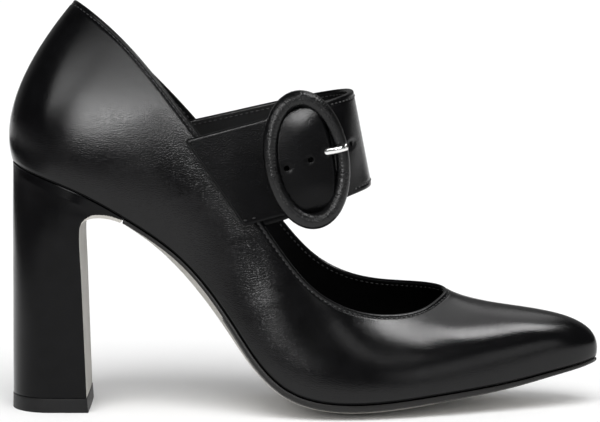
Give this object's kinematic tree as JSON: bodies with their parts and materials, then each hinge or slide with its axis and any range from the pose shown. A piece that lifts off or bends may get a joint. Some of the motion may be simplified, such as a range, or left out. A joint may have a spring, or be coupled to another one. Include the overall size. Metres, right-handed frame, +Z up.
{
  "type": "block heel shoe",
  "caption": "Pointed-toe leather court shoe for the right foot on a tall block heel, with a low throat, a wide instep strap and a big leather-covered oval buckle.",
  "frame": {"origin": "on the floor, at the middle of the shoe's length and width", "axes": "+X from heel to toe, +Y to the inner (medial) side of the foot, +Z up from the floor"},
  "size_m": [0.2382, 0.0802, 0.1652],
  "materials": {
    "upper_leather": "fine-grained semi-gloss black leather",
    "insole_leather": "matte black lining leather",
    "sole": "black edge, warm grey underside",
    "heel_cover": "smooth satin black cover, warm grey breast",
    "top_lift": "matte black",
    "strap_leather": "fine-grained black leather, more matte than the upper",
    "buckle_leather": "thin black leather wrapped round the ring",
    "dark_steel": "polished dark steel",
    "bright_steel": "polished bright steel"
  },
  "bodies": {
    "root": {"upper": "upper_leather", "insole": "insole_leather", "outsole": "sole", "heel_block": "heel_cover", "heel_top_lift": "top_lift", "instep_strap": "strap_leather", "buckle_strap": "strap_leather", "buckle_frame": "buckle_leather", "buckle_bar": "dark_steel", "buckle_prong": "bright_steel"}
  },
  "joints": []
}
